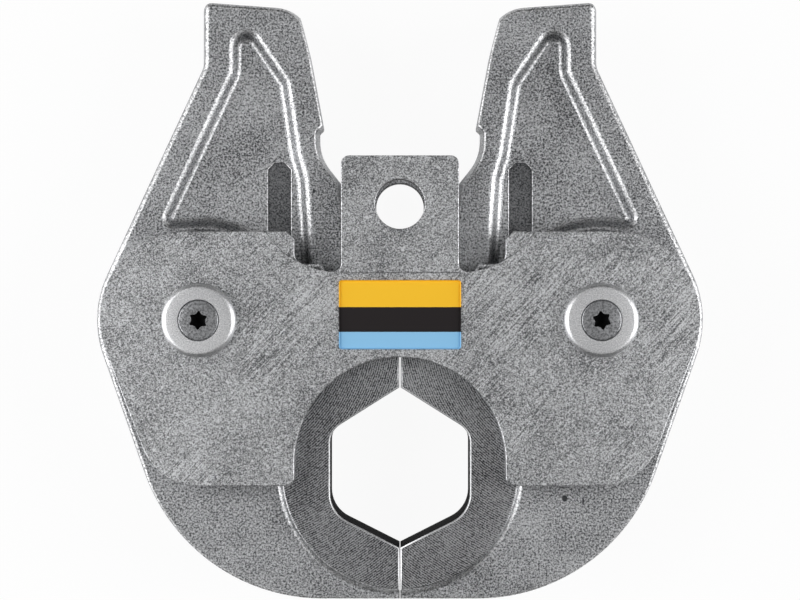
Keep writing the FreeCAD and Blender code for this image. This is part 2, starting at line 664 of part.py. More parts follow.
def jaw_spring(label):
    """The leg spring: a close coil on its pin, with two legs that push the jaws' flanks apart."""
    coil = size("coil_radius")
    wire = size("wire_radius")
    # Flank of the left jaw in the row frame
    top = Vector(size("flank_top_x - pivot_spacing / 2"), size("flank_top_y - pivot_drop"), 0)
    foot = Vector(-size("flank_foot_gap"), size("nose_height - pivot_drop"), 0)
    along = (top - foot).normalize()
    outward = Vector(along.y, -along.x, 0)
    tip = top - along * size("leg_reach") + outward * (wire + size("leg_play"))
    centre = Vector(0, -size("spring_drop"), 0)
    toward = tip - centre
    bearing = math.atan2(toward.y, toward.x)
    start_angle = bearing + math.acos(coil / toward.Length)
    end_angle = math.pi - start_angle
    sweep = (end_angle - start_angle) % (2 * math.pi) + 2 * math.pi * size("coil_turns")
    rise = size("coil_pitch") * sweep / (2 * math.pi)
    # The wire's path: leg, turns, leg
    count = round(size("coil_steps") * sweep / (2 * math.pi))
    path = []
    for step in range(count + 1):
        share = step / count
        angle = start_angle + sweep * share
        path.append(centre + Vector(coil * math.cos(angle), coil * math.sin(angle), rise * (share - 0.5)))
    path.insert(0, Vector(tip.x, tip.y, path[0].z))
    path.append(Vector(-tip.x, tip.y, path[-1].z))
    # Rings of corners round the path, joined by flat faces
    sides = int(size("wire_sides"))
    rings = []
    for index, point in enumerate(path):
        ahead = path[min(index + 1, len(path) - 1)] - path[max(index - 1, 0)]
        across = ahead.cross(Vector(0, 0, 1)).normalize()
        upward = across.cross(ahead).normalize()
        rings.append([
            point + across * (wire * math.cos(turn)) + upward * (wire * math.sin(turn))
            for turn in (2 * math.pi * side / sides for side in range(sides))
        ])
    faces = [rings[0], rings[-1][::-1]]
    for near, far in zip(rings, rings[1:]):
        for side in range(sides):
            faces.append([near[side], near[side - 1], far[side - 1]])
            faces.append([near[side], far[side - 1], far[side]])
    shell = Part.makeShell([Part.Face(Part.makePolygon([*face, face[0]])) for face in faces])
    shell.sewShape()
    spring = doc.addObject("Part::Feature", label)
    spring.Label = label
    spring.Shape = Part.makeSolid(shell)
    return spring


# The assembly

def place(part, x="0", y="0", z="0", turned=False):
    """Puts a piece at x, y, z, turned over about the Y axis if asked."""
    angle = 180 if turned else 0
    part.Placement = Placement(Vector(0, 0, 0), Rotation(Vector(0, 1, 0), angle))
    for axis, expression in (("x", x), ("y", y), ("z", z)):
        part.setExpression(f".Placement.Base.{axis}", cells(expression))
    return part


left = "-pivot_spacing / 2"
right = "pivot_spacing / 2"
plate_outer = "boss_face + side_clearance + plate_thickness"
head_height = f"{plate_outer} + washer_thickness - screw_sink"

pieces = [
    place(jaw("left_jaw"), left, "-pivot_drop"),
    place(jaw("right_jaw"), right, "-pivot_drop", turned=True),
    place(side_plate("front_side_plate")),
    place(side_plate("rear_side_plate"), turned=True),
    place(spring_pin("spring_pin"), "0", "-spring_drop"),
    place(label_plate("front_label"), "0", "-label_top_drop", plate_outer),
    jaw_spring("jaw_spring"),
]
for side, x in (("left", left), ("right", right)):
    pieces.append(place(pivot_bolt(f"{side}_pivot_bolt"), x, "-pivot_drop"))
    for end, sign, turned in (("front", "", False), ("rear", "-", True)):
        pieces.append(place(washer(f"{end}_{side}_washer"), x, "-pivot_drop",
                            f"{sign}({plate_outer})", turned))
        pieces.append(place(screw(f"{end}_{side}_screw"), x, "-pivot_drop",
                            f"{sign}({head_height})", turned))
doc.recompute()

for item in doc.Objects:
    if "Invalid" in item.State or "Error" in item.State:
        raise RuntimeError(f"{item.Label} failed: {item.State}")
for piece in pieces:
    if piece.Shape.isNull() or not piece.Shape.isValid() or len(piece.Shape.Solids) != 1:
        raise RuntimeError(f"{piece.Label} is not one valid solid")

os.makedirs("parts", exist_ok=True)
for piece in pieces:
    piece.Shape.exportStep(f"parts/{piece.Label}.step")
    print(piece.Label, round(piece.Shape.Volume, 1))
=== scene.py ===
import json
import math

import bpy
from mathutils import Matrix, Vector


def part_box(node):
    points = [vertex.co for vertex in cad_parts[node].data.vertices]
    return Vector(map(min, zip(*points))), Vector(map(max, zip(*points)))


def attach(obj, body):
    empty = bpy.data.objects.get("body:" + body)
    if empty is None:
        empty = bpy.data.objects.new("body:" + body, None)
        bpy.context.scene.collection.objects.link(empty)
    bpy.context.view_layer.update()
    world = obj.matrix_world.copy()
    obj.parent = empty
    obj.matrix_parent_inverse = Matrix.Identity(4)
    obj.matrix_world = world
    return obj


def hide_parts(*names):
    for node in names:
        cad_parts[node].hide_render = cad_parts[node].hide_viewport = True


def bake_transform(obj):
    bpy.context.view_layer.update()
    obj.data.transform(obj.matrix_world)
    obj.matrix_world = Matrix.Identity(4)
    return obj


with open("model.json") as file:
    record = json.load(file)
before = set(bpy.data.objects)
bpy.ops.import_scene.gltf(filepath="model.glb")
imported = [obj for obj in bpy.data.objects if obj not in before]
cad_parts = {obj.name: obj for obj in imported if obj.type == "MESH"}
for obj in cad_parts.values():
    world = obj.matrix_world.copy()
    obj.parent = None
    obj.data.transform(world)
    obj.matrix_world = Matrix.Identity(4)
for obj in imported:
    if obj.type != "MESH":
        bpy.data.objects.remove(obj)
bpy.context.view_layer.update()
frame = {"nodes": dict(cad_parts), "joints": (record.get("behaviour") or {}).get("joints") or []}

# A press jaw for pipe fittings, lying on its rear washers and seen from straight above.
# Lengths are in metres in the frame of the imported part: its origin is the middle of the
# retaining bore, +Y runs to the arm tips and +Z out of the front side plate.

MM = 0.001

# Places on the part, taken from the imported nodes
nodes = frame["nodes"]
pivots = {
    joint["child"]: Vector(joint["pos_m"])
    for joint in frame["joints"]
}
floor_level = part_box("rear_left_washer")[0].z

# Heights of the jaw's faces, the circles of its bosses, the reach of its contour, and the
# sunk field of either arm
WEB_FACE = 8.3 * MM
BOSS_FACE = 10.25 * MM
POCKET_FLOOR = 4.3 * MM
RING_CENTRE = Vector((0, -76.3 * MM, 0))
RING_RADIUS = 33.8 * MM
HUB_RADIUS = 25.0 * MM
CONTOUR_REACH = 26 * MM
FIELD_LOW = Vector((31.5, -10.7)) * MM
FIELD_HIGH = Vector((38.1, 12.3)) * MM

# The plate: its top edge, the round ends of its recess, a line just outside the upright side
# of its shoulder, its arch and its bore
PLATE_TOP = -7.7 * MM
BEND_X = 17 * MM
BEND_Y = 5.55 * MM
BEND_RADIUS = 25 * MM
SHOULDER_LINE = 31.5 * MM
ARCH_HALF = 33 * MM
ARCH_TOP = -43 * MM
ARCH_FOOT = -81 * MM
BORE_REACH = 7.3 * MM

# Screws and spring
SHANK_RADIUS = 3.0 * MM
SOCKET_RADIUS = 2.95 * MM
WIRE_RADIUS = 0.9 * MM
COIL_RADIUS = 5.0 * MM

# An edge is rounded where it is sharper than this, and heights this near are the same
SHARP = math.radians(24)
SAME_HEIGHT = 0.02 * MM

# Places of the finishes in a jaw's list of materials
FORGED, FACED, CONTOUR, CHAMFER_HIGHLIGHT, SHADED_FIELD, EDGE_HIGHLIGHT = range(6)


# Tools

def select_only(piece):
    """Leaves one object selected and active."""
    bpy.ops.object.select_all(action="DESELECT")
    piece.select_set(True)
    bpy.context.view_layer.objects.active = piece


def edit(piece):
    """Makes a piece the active one, with nothing selected in its mesh."""
    select_only(piece)
    bpy.ops.object.mode_set(mode="EDIT")
    bpy.ops.mesh.select_all(action="DESELECT")
    bpy.ops.object.mode_set(mode="OBJECT")


def choose(piece, test, kind="polygons"):
    """Selects the faces, edges or vertices that a test picks and opens edit mode."""
    for item in getattr(piece.data, kind):
        item.select = test(item)
    bpy.ops.object.mode_set(mode="EDIT")
    modes = {"polygons": "FACE", "edges": "EDGE", "vertices": "VERT"}
    bpy.ops.mesh.select_mode(type=modes[kind])


def finish_edit():
    """Leaves edit mode."""
    bpy.ops.object.mode_set(mode="OBJECT")


def held(value):
    """A value held between 0 and 1."""
    return min(max(value, 0), 1)


def apply_modifier(piece, kind, **settings):
    """Adds a modifier to a piece and applies it."""
    select_only(piece)
    modifier = piece.modifiers.new(kind.title(), kind)
    for name, value in settings.items():
        setattr(modifier, name, value)
    bpy.ops.object.modifier_apply(modifier=modifier.name)


def smooth(piece, degrees=32):
    """Smooth shading that keeps the edges sharper than an angle."""
    select_only(piece)
    bpy.ops.object.shade_smooth_by_angle(angle=math.radians(degrees))


def flatten_normals(piece):
    """Lets the large flat faces keep their own normal beside their rounded edges."""
    apply_modifier(piece, "WEIGHTED_NORMAL", keep_sharp=True, weight=90)


def settle(piece, body):
    """Puts a finished piece's place into its mesh, and lets it ride on a body."""
    select_only(piece)
    bpy.ops.object.transform_apply(location=True, rotation=True, scale=True)
    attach(piece, body)
    return piece


def faces_of_edges(mesh):
    """The faces that meet at each edge."""
    faces = {}
    for face in mesh.polygons:
        for key in face.edge_keys:
            faces.setdefault(key, []).append(face)
    return [faces[edge.key] for edge in mesh.edges]


def merged_copy(node, name):
    """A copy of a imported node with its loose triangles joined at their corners."""
    mesh = nodes[node].data.copy()
    piece = bpy.data.objects.new(name, mesh)
    bpy.context.scene.collection.objects.link(piece)
    mesh.materials.clear()
    select_only(piece)
    bpy.ops.object.mode_set(mode="EDIT")
    bpy.ops.mesh.select_all(action="SELECT")
    bpy.ops.mesh.remove_doubles(threshold=0.002 * MM)
    bpy.ops.object.mode_set(mode="OBJECT")
    return piece


def round_edges(piece, width_of):
    """Rounds the level sharp edges of a piece, each by the width that a rule gives it.

    The rule gets the middle of the edge, the normal of the steeper of its faces, and whether
    the edge is hollow.
    """
    mesh = piece.data
    widths = []
    for edge, (first, second) in zip(mesh.edges, faces_of_edges(mesh)):
        ends = [mesh.vertices[index].co for index in edge.vertices]
        middle = (ends[0] + ends[1]) / 2
        sharp = first.normal.angle(second.normal, 0) > SHARP
        flat = abs(ends[0].z - ends[1].z) < SAME_HEIGHT
        wall = min((first.normal, second.normal), key=lambda normal: abs(normal.z))
        hollow = first.normal.dot(second.center - middle) > 0
        widths.append(width_of(middle, wall, hollow) if sharp and flat else 0.0)
    widest = max(widths)
    weights = mesh.attributes.new("bevel_weight_edge", "FLOAT", "EDGE")
    for index, width in enumerate(widths):
        weights.data[index].value = width / widest
    apply_modifier(piece, "BEVEL", limit_method="WEIGHT", width=widest, segments=3,
                   use_clamp_overlap=False, loop_slide=False)


# Materials

def linear(code):
    """An sRGB hex colour as linear RGBA."""
    channels = [int(code[start:start + 2], 16) / 255 for start in (1, 3, 5)]
    return [
        value / 12.92 if value <= 0.04045 else ((value + 0.055) / 1.055) ** 2.4
        for value in channels
    ] + [1.0]


def add(tree, kind, inputs=None, **settings):
    """Adds a node: inputs are values or the sockets that feed them."""
    made = tree.nodes.new(kind)
    for name, value in settings.items():
        setattr(made, name, value)
    for name, value in (inputs or {}).items():
        if isinstance(value, bpy.types.NodeSocket):
            tree.links.new(value, made.inputs[name])
        else:
            made.inputs[name].default_value = value
    return made


def new_material(name):
    """A material with its node tree, its shader and the object's own coordinates."""
    material = bpy.data.materials.new(name)
    material.use_nodes = True
    tree = material.node_tree
    shader = tree.nodes["Principled BSDF"]
    place = add(tree, "ShaderNodeTexCoord").outputs["Object"]
    return material, tree, shader, place


def per_mm(size):
    """The scale of a texture whose features are that many millimetres."""
    return 1 / (size * MM)


def metal_finish(name, dark, light, grain, roughness, bump, marks=None):
    """Bare steel with a grain in tone and height, to which a finish adds its own marks."""
    material, tree, shader, place = new_material(name)
    speckle = add(tree, "ShaderNodeTexNoise", {
        "Vector": place, "Scale": per_mm(grain), "Detail": 3.0, "Roughness": 0.7,
    }).outputs["Fac"]
    patch = add(tree, "ShaderNodeTexNoise", {
        "Vector": place, "Scale": per_mm(17), "Detail": 2.0,
    }).outputs["Fac"]
    tone = add(tree, "ShaderNodeMath", {
        0: patch, 1: 0.18, 2: speckle,
    }, operation="MULTIPLY_ADD").outputs[0]
    height = speckle
    if marks:
        tone, height = marks(tree, place, tone, height)
    share = add(tree, "ShaderNodeMapRange", {"Value": tone, "From Min": 0.47, "From Max": 0.71})
    colour = add(tree, "ShaderNodeMix", {
        0: share.outputs["Result"], 6: linear(dark), 7: linear(light),
    }, data_type="RGBA")
    rough = add(tree, "ShaderNodeMapRange", {
        "Value": speckle, "From Min": 0.3, "From Max": 0.7,
        "To Min": roughness - 0.06, "To Max": roughness + 0.08,
    })
    relief = add(tree, "ShaderNodeBump", {"Height": height, "Strength": 1.0, "Distance": bump * MM})
    tree.links.new(colour.outputs[2], shader.inputs["Base Color"])
    tree.links.new(rough.outputs["Result"], shader.inputs["Roughness"])
    tree.links.new(relief.outputs["Normal"], shader.inputs["Normal"])
    shader.inputs["Metallic"].default_value = 1.0
    return material


def struck_marks(tree, place, tone, height):
    """A hardness dimple and a chisel stroke on the right jaw, and a small pit on the left arm.

    Each has its middle and its half widths in millimetres.
    """
    for spot, size in (
        ((47.3, -84.3, 8.3), (0.85, 0.85, 2)),
        ((52.6, -85.1, 8.3), (0.28, 1.1, 2)),
        ((-24.7, 4.1, 8.3), (0.4, 0.55, 2)),
    ):
        near = add(tree, "ShaderNodeMapping", {
            "Vector": place, "Location": Vector(spot) * MM, "Scale": Vector(size) * MM,
        }, vector_type="TEXTURE")
        away = add(tree, "ShaderNodeVectorMath", {0: near.outputs["Vector"]}, operation="LENGTH")
        depth = add(tree, "ShaderNodeMapRange", {
            "Value": away.outputs["Value"], "From Min": 0.7, "From Max": 1.1,
            "To Min": -0.35, "To Max": 0.0,
        }).outputs["Result"]
        tone = add(tree, "ShaderNodeMath", {0: tone, 1: depth}, operation="ADD").outputs[0]
        height = add(tree, "ShaderNodeMath", {
            0: depth, 1: 4.0, 2: height,
        }, operation="MULTIPLY_ADD").outputs[0]
    return tone, height


def forged_steel():
    """Drop-forged and shot-blasted steel: a coarse, dull, sparkling grain."""
    return metal_finish("forged_blasted_steel", "#47484a", "#d3d4d6",
                        grain=0.55, roughness=0.5, bump=0.1, marks=struck_marks)


def edge_highlight_steel():
    """The forging's rounded edges in a lighter copy of the forged finish: a painted highlight."""
    return metal_finish("painted_highlight_edge_steel", "#7c7d7f", "#f4f4f5",
                        grain=0.55, roughness=0.45, bump=0.06)


def shaded_field_steel():
    """The sunk field of the forging: smoother than the blasted faces, and darker as painted shade
    of the recess.
    """
    return metal_finish("sunk_field_painted_shade_steel", "#3c3d3f", "#8c8d8f",
                        grain=0.5, roughness=0.45, bump=0.03)


def grinding(tree, place, tone, height):
    """Patches of fine grinding lines rising to the right, and small bright pecks."""
    turned = add(tree, "ShaderNodeMapping", {
        "Vector": place, "Rotation": (0, 0, math.radians(47)), "Scale": (24, 1, 1),
    }, vector_type="TEXTURE")
    lines = add(tree, "ShaderNodeTexNoise", {
        "Vector": turned.outputs["Vector"], "Scale": per_mm(0.36), "Detail": 2.0,
    }).outputs["Fac"]
    where = add(tree, "ShaderNodeTexNoise", {"Vector": place, "Scale": per_mm(26), "Detail": 1.0})
    shown = add(tree, "ShaderNodeMapRange", {
        "Value": where.outputs["Fac"], "From Min": 0.5, "From Max": 0.66,
        "To Min": 0.03, "To Max": 0.5,
    }).outputs["Result"]
    away = add(tree, "ShaderNodeMath", {0: lines, 1: 0.5}, operation="SUBTRACT").outputs[0]
    lined = add(tree, "ShaderNodeMath", {
        0: away, 1: shown, 2: tone,
    }, operation="MULTIPLY_ADD").outputs[0]
    spots = add(tree, "ShaderNodeTexNoise", {"Vector": place, "Scale": per_mm(1.6), "Detail": 3.0})
    pecks = add(tree, "ShaderNodeMapRange", {
        "Value": spots.outputs["Fac"], "From Min": 0.63, "From Max": 0.74, "To Max": 0.2,
    }).outputs["Result"]
    marked = add(tree, "ShaderNodeMath", {0: lined, 1: pecks}, operation="ADD").outputs[0]
    return marked, height


def tumbled_steel():
    """Blanked plate, ground and then tumbled: a lighter, finer grain with soft scratches."""
    return metal_finish("tumbled_plate_steel", "#646567", "#ebecee",
                        grain=0.42, roughness=0.42, bump=0.055, marks=grinding)


def faced_steel(name, centre):
    """Boss faces cut with a wide facing cutter: arcs a feed apart, darker than the plate."""
    def arcs(tree, place, tone, height):
        moved = add(tree, "ShaderNodeMapping", {"Vector": place, "Location": -centre})
        wave = add(tree, "ShaderNodeTexWave", {
            "Vector": moved.outputs["Vector"], "Scale": 0.314 * per_mm(0.62),
            "Distortion": 2.2, "Detail": 2.0, "Detail Scale": 0.35,
        }, wave_type="RINGS", rings_direction="Z").outputs["Fac"]
        away = add(tree, "ShaderNodeMath", {0: wave, 1: 0.5}, operation="SUBTRACT").outputs[0]
        marked = add(tree, "ShaderNodeMath", {0: away, 1: 0.19, 2: tone}, operation="MULTIPLY_ADD")
        cut = add(tree, "ShaderNodeMath", {0: wave, 1: 0.35, 2: height}, operation="MULTIPLY_ADD")
        return marked.outputs[0], cut.outputs[0]
    return metal_finish(name, "#38383a", "#bcbdbf", grain=0.45, roughness=0.4, bump=0.045,
                        marks=arcs)


def contour_steel():
    """The hardened press contour and other cut walls: near black, partly heat-treatment scale and
    partly painted shade of the deep upright walls.
    """
    material, tree, shader, place = new_material("scale_and_painted_shade_contour_steel")
    speckle = add(tree, "ShaderNodeTexNoise", {
        "Vector": place, "Scale": per_mm(0.8), "Detail": 2.0,
    })
    colour = add(tree, "ShaderNodeMix", {
        0: speckle.outputs["Fac"], 6: linear("#070707"), 7: linear("#171718"),
    }, data_type="RGBA")
    tree.links.new(colour.outputs[2], shader.inputs["Base Color"])
    shader.inputs["Roughness"].default_value = 0.9
    shader.inputs["Specular IOR Level"].default_value = 0.05
    return material


def turned_steel():
    """Turned and ground washers: a fine even satin."""
    return metal_finish("turned_washer_steel", "#c4c5c7", "#f6f6f7",
                        grain=0.35, roughness=0.42, bump=0.008)


def screw_steel():
    """Zinc-plated screws: a slightly darker satin."""
    return metal_finish("zinc_plated_screw_steel", "#8c8d8f", "#c4c5c8",
                        grain=0.6, roughness=0.28, bump=0.01)


def spring_wire():
    """Patented spring wire, drawn dark and smooth."""
    return metal_finish("drawn_spring_wire", "#2a2a2c", "#505154",
                        grain=0.6, roughness=0.3, bump=0.004)


def bore_shade_steel():
    """The wall of the retaining bore: darkened as painted shade, so it reads as a shadow."""
    return metal_finish("painted_shade_bore_steel", "#1c1c1d", "#343436",
                        grain=0.6, roughness=0.5, bump=0.01)


def label_foil(top, height):
    """A printed foil in three fields of colour, black between yellow and light blue."""
    material, tree, shader, place = new_material("printed_label_foil")
    split = add(tree, "ShaderNodeSeparateXYZ", {"Vector": place})
    down = add(tree, "ShaderNodeMapRange", {
        "Value": split.outputs["Y"], "From Min": top, "From Max": top - height,
    })
    bands = add(tree, "ShaderNodeValToRGB", {"Fac": down.outputs["Result"]})
    ramp = bands.color_ramp
    ramp.interpolation = "CONSTANT"
    ramp.elements[0].color = linear("#f9c22e")
    ramp.elements[1].position = 0.388
    ramp.elements[1].color = linear("#231f20")
    ramp.elements.new(0.75).color = linear("#8dc3e8")
    tree.links.new(bands.outputs["Color"], shader.inputs["Base Color"])
    shader.inputs["Roughness"].default_value = 0.6
    shader.inputs["Specular IOR Level"].default_value = 0.15
    return material


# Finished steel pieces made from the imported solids

def give_materials(piece, materials, choice):
    """Fills the material slots and sets each face's slot by its middle and normal."""
    for material in materials:
        piece.data.materials.append(material)
    for face in piece.data.polygons:
        face.material_index = choice(face.center, face.normal)


def finished_jaw(side, body, materials):
    """A jaw half with the forging's rounded edges and its machined faces."""
    node = f"{side}_jaw"
    pivot = pivots[body]
    piece = merged_copy(node, f"{side}_jaw_forging")

    def from_ring(point):
        return math.hypot(point.x - RING_CENTRE.x, point.y - RING_CENTRE.y)

    def from_pivot(point):
        return math.hypot(point.x - pivot.x, point.y - pivot.y)

    def in_field(point, spare=0.0):
        across = abs(point.x)
        return (FIELD_LOW.x - spare < across < FIELD_HIGH.x + spare
                and FIELD_LOW.y - spare < point.y < FIELD_HIGH.y + spare
                and abs(point.z) < POCKET_FLOOR + 0.1 * MM)

    def finish_of(point, normal):
        level = abs(normal.z) > 0.99
        height = abs(point.z)
        if level and abs(height - BOSS_FACE) < 0.05 * MM:
            return FACED
        # Upright walls by the contour take the near-black finish, partly painted shade
        if from_ring(point) < CONTOUR_REACH and abs(normal.z) < 0.1:
            return CONTOUR
        # The boss's chamfers take the lighter turned finish: a cut surface, partly a painted
        # highlight
        if not level and height > BOSS_FACE - 0.5 * MM and from_ring(point) < RING_RADIUS - MM:
            return CHAMFER_HIGHLIGHT
        # The sunk field's floor takes the darker finish: painted shade of the recess
        return SHADED_FIELD if in_field(point) and height < POCKET_FLOOR - 0.2 * MM else FORGED

    def width_of(middle, wall, hollow):
        height = abs(middle.z)
        hub = from_pivot(middle)
        if abs(height - BOSS_FACE) < SAME_HEIGHT:
            off_rims = min(abs(from_ring(middle) - RING_RADIUS), abs(hub - HUB_RADIUS))
            return 0.35 * MM if off_rims < 0.2 * MM else 0.0
        if abs(height - WEB_FACE) < SAME_HEIGHT:
            if hollow:
                return 0.25 * MM if hub < 30 * MM else 0.9 * MM
            if abs(wall.z) > 0.3:
                # The pocket's edge, narrower where little metal is left beside the hub
                return min(1.3 * MM, 0.45 * MM + max(hub - 27 * MM, 0) * 0.3)
            # The forging's edge, worn most on the outside of the arm
            outward = wall.x * math.copysign(1, pivot.x)
            worn = held((outward + 0.6) / 0.6) * held((middle.y + 70 * MM) / (25 * MM))
            return (0.6 + 0.6 * worn) * MM
        if abs(height - POCKET_FLOOR) < SAME_HEIGHT:
            return 1.0 * MM if hollow else 0.22 * MM
        return 0.0

    give_materials(piece, materials, finish_of)
    round_edges(piece, width_of)
    smooth(piece)
    mesh = piece.data
    for face in mesh.polygons:
        steepness = abs(face.normal.z)
        # Tilted edge faces of the forging take the lighter finish: a painted highlight
        if face.material_index == FORGED and 0.6 < steepness < 0.97:
            face.material_index = EDGE_HIGHLIGHT
        # The sunk field keeps its level floors and upright walls crisp
        square = steepness > 0.999 or steepness < 0.01
        if square and any(in_field(mesh.vertices[index].co, 0.3 * MM) for index in face.vertices):
            face.use_smooth = False
    flatten_normals(piece)
    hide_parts(node)
    return settle(piece, body)


def finished_plate(end, materials):
    """A side plate with its edges broken by tumbling and a bore wall darkened as painted shade."""
    node = f"{end}_side_plate"
    piece = merged_copy(node, f"{end}_plate_tumbled")

    def width_of(middle, wall, hollow):
        if hollow:
            return 0.0
        across = abs(middle.x)
        off_bend = abs(math.hypot(across - BEND_X, middle.y - BEND_Y) - BEND_RADIUS)
        if across > BEND_X and off_bend < 0.25 * MM and middle.y < PLATE_TOP:
            # Only the part of the recess's end that runs up the shoulder is rounded
            return 0.45 * MM if across > SHOULDER_LINE else 0.0
        in_arch = across < ARCH_HALF and ARCH_FOOT < middle.y < ARCH_TOP
        return (0.4 if in_arch else 0.28) * MM

    # The bore's wall takes the dark finish: painted shade
    def in_bore(point, normal):
        return int(point.xy.length < BORE_REACH and abs(normal.z) < 0.1)

    give_materials(piece, materials, in_bore)
    round_edges(piece, width_of)
    smooth(piece)
    flatten_normals(piece)
    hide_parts(node)
    return settle(piece, "frame")


# Turned pieces

def turned_washer(node, material):
    """A washer with a rounded rim and a countersink, in its place on the front plate."""
    low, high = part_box(node)
    centre = (low + high) / 2
    radius = (high.x - low.x) / 2
    countersink_radius = 5.95 * MM
    cone = 2.6 * MM
    hole_radius = 3.25 * MM
    bpy.ops.object.select_all(action="DESELECT")
    bpy.ops.mesh.primitive_cylinder_add(vertices=96, radius=radius, depth=high.z - low.z,
                                        location=centre)
    piece = bpy.context.active_object

    # The countersink, an upright land and then a 45 degree cone
    edit(piece)
    choose(piece, lambda face: face.normal.z > 0.9)
    bpy.ops.mesh.inset(thickness=radius - countersink_radius)
    bpy.ops.mesh.inset(thickness=0.1 * MM)
    bpy.ops.transform.translate(value=(0, 0, -0.25 * MM))
    bpy.ops.mesh.inset(thickness=cone)
    bpy.ops.transform.translate(value=(0, 0, -cone))
    finish_edit()

    # The hole, from the countersink's foot through the underside
    edit(piece)
    choose(piece, lambda face: face.normal.z < -0.9)
    bpy.ops.mesh.inset(thickness=radius - hole_radius)
    finish_edit()
    edit(piece)
    choose(piece, lambda face: abs(face.normal.z) > 0.9 and len(face.vertices) > 4)
    bpy.ops.mesh.bridge_edge_loops()
    finish_edit()

    # The rounded rim
    edit(piece)
    mesh = piece.data

    def on_rim(edge):
        ends = [mesh.vertices[index].co for index in edge.vertices]
        return all(end.z > 0 and end.xy.length > radius - 0.01 * MM for end in ends)

    choose(piece, on_rim, "edges")
    bpy.ops.mesh.bevel(offset=1.5 * MM, segments=6, profile=0.5)
    finish_edit()
    mesh.materials.append(material)
    smooth(piece)
    return piece


def countersunk_screw(node, materials):
    """A countersunk screw head with a six-lobe socket, on its plain shank, in the front plate."""
    low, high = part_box(node)
    centre = (low + high) / 2
    face = high.z
    head_radius = (high.x - low.x) / 2
    cone = head_radius - SHANK_RADIUS
    land = 0.3 * MM
    clearance = 0.5 * MM
    socket_wall = 1.5 * MM
    socket_cone = 1.5 * MM
    valley = 0.62
    bpy.ops.object.select_all(action="DESELECT")
    bpy.ops.mesh.primitive_cylinder_add(vertices=72, radius=SHANK_RADIUS, depth=high.z - low.z,
                                        location=centre)
    piece = bpy.context.active_object
    edit(piece)
    choose(piece, lambda item: item.normal.z > 0.9)
    bpy.ops.transform.translate(value=(0, 0, -cone))
    bpy.ops.mesh.extrude_region_move(TRANSFORM_OT_translate={"value": (0, 0, cone - land)})
    grow = (head_radius - 0.05 * MM) / SHANK_RADIUS
    bpy.ops.transform.resize(value=(grow, grow, 1))
    bpy.ops.mesh.extrude_region_move(TRANSFORM_OT_translate={"value": (0, 0, land)})
    bpy.ops.mesh.bevel(offset=0.2 * MM, segments=3, profile=0.5)
    finish_edit()

    # The socket is cut with a six-lobe punch
    bpy.ops.object.select_all(action="DESELECT")
    bpy.ops.mesh.primitive_circle_add(vertices=12, radius=SOCKET_RADIUS, fill_type="NGON",
                                      location=(centre.x, centre.y, face + clearance))
    punch = bpy.context.active_object
    edit(punch)
    choose(punch, lambda vertex: vertex.index % 2 == 1, "vertices")
    bpy.ops.transform.resize(value=(valley, valley, 1))
    bpy.ops.mesh.select_all(action="SELECT")
    bpy.ops.mesh.bevel(offset=0.55 * MM, segments=4, affect="VERTICES")
    bpy.ops.mesh.select_all(action="SELECT")
    for depth in (clearance + socket_wall, socket_cone):
        bpy.ops.mesh.extrude_region_move(TRANSFORM_OT_translate={"value": (0, 0, -depth)})
    bpy.ops.transform.resize(value=(0.15, 0.15, 1))
    bpy.ops.mesh.select_all(action="SELECT")
    bpy.ops.mesh.normals_make_consistent(inside=False)
    finish_edit()
    apply_modifier(piece, "BOOLEAN", operation="DIFFERENCE", object=punch, solver="EXACT")
    bpy.data.objects.remove(punch)

    # The socket's walls and floor take the near-black finish: painted shade of the deep socket
    def in_socket(point, normal):
        below = (face - centre.z) - point.z
        return int(point.xy.length < SOCKET_RADIUS and abs(below) > SAME_HEIGHT
                   and below < socket_wall + socket_cone + 0.2 * MM)

    piece.data.materials.clear()
    give_materials(piece, materials, in_socket)
    smooth(piece)
    return piece


def place_copies(piece, kind, turns):
    """Sets a finished front left piece, and copies of it, at both pivots on both plates."""
    home_low, home_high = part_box(f"front_left_{kind}")
    home = (home_low + home_high) / 2
    for (end, side), turn in turns.items():
        node = f"{end}_{side}_{kind}"
        low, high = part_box(node)
        select_only(piece)
        bpy.ops.object.duplicate()
        copy = bpy.context.active_object
        copy.name = f"{node}_finished"
        bpy.ops.transform.rotate(value=math.radians(turn), orient_axis="Z",
                                 center_override=home)
        if end == "rear":
            bpy.ops.transform.rotate(value=math.pi, orient_axis="Y",
                                     center_override=home)
        bpy.ops.transform.translate(value=(low + high) / 2 - home)
        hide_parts(node)
        settle(copy, "frame")
    bpy.data.objects.remove(piece)


# The spring

def spring_half(name, points, material):
    """Half of the leg spring as round wire that bends between the plates and one jaw.
    """
    curve = bpy.data.curves.new(name, "CURVE")
    curve.dimensions = "3D"
    curve.bevel_depth = WIRE_RADIUS
    curve.bevel_resolution = 4
    curve.use_fill_caps = True
    spline = curve.splines.new("NURBS")
    spline.points.add(len(points) - 1)
    for slot, point in zip(spline.points, points):
        slot.co = (*point, 1)
    spline.order_u = 3
    spline.use_endpoint_u = True
    piece = bpy.data.objects.new(name, curve)
    bpy.context.scene.collection.objects.link(piece)
    select_only(piece)
    bpy.ops.object.convert(target="MESH")
    piece.data.materials.clear()
    piece.data.materials.append(material)
    smooth(piece, 60)
    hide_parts("jaw_spring")
    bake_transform(piece)
    return piece


